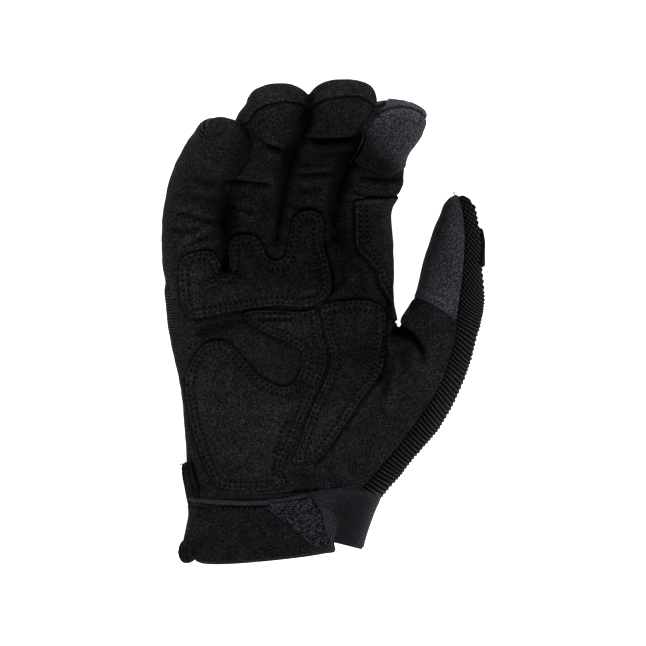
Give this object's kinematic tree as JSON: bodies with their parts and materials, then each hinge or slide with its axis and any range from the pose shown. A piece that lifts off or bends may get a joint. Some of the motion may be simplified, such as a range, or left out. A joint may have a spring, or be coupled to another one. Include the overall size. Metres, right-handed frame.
{
  "type": "work glove",
  "caption": "Right-hand work glove lying palm up, with a padded suede palm, knit back, touch-fabric tips and a wrist strap that closes with hooks and loops.",
  "frame": {"origin": "middle of the bounding box at the surface that the back of the glove rests on", "axes": "+X towards the thumb side, +Y from the wrist towards the fingertips, +Z out of the palm"},
  "size_m": [0.149, 0.2211, 0.066],
  "materials": {
    "suede": "matt black synthetic suede with a fine nap",
    "pad_suede": "matt black synthetic suede over foam, with sewn edges",
    "knit": "black ribbed stretch knit",
    "touch_fabric": "dark grey heathered woven fabric",
    "elastic": "charcoal woven elastic with fine ribs",
    "strap_webbing": "charcoal brushed webbing",
    "hook_loop": "dark field of small hooks and loops",
    "binding": "black folded binding tape",
    "moulded": "smooth satin black moulded guard"
  },
  "bodies": {
    "root": {"palm_panel": "suede", "thumb_panel": "suede", "back_panel": "knit", "little_finger_back": "knit", "ring_finger_back": "knit", "middle_finger_back": "knit", "index_finger_back": "knit", "thumb_back_panel": "knit", "ring_tip_cap": "suede", "middle_tip_cap": "suede", "knuckle_pad": "pad_suede", "heel_pad": "pad_suede", "thenar_pad": "pad_suede", "index_side_patch": "suede", "index_tip_patch": "touch_fabric", "thumb_tip_patch": "touch_fabric", "thumb_guard": "moulded", "wrist_band": "elastic", "closure_strap": "strap_webbing", "strap_overlay": "suede", "hook_patch": "hook_loop", "slit_binding_back": "binding", "slit_binding_front": "binding", "strap_fold": "strap_webbing"}
  },
  "joints": []
}
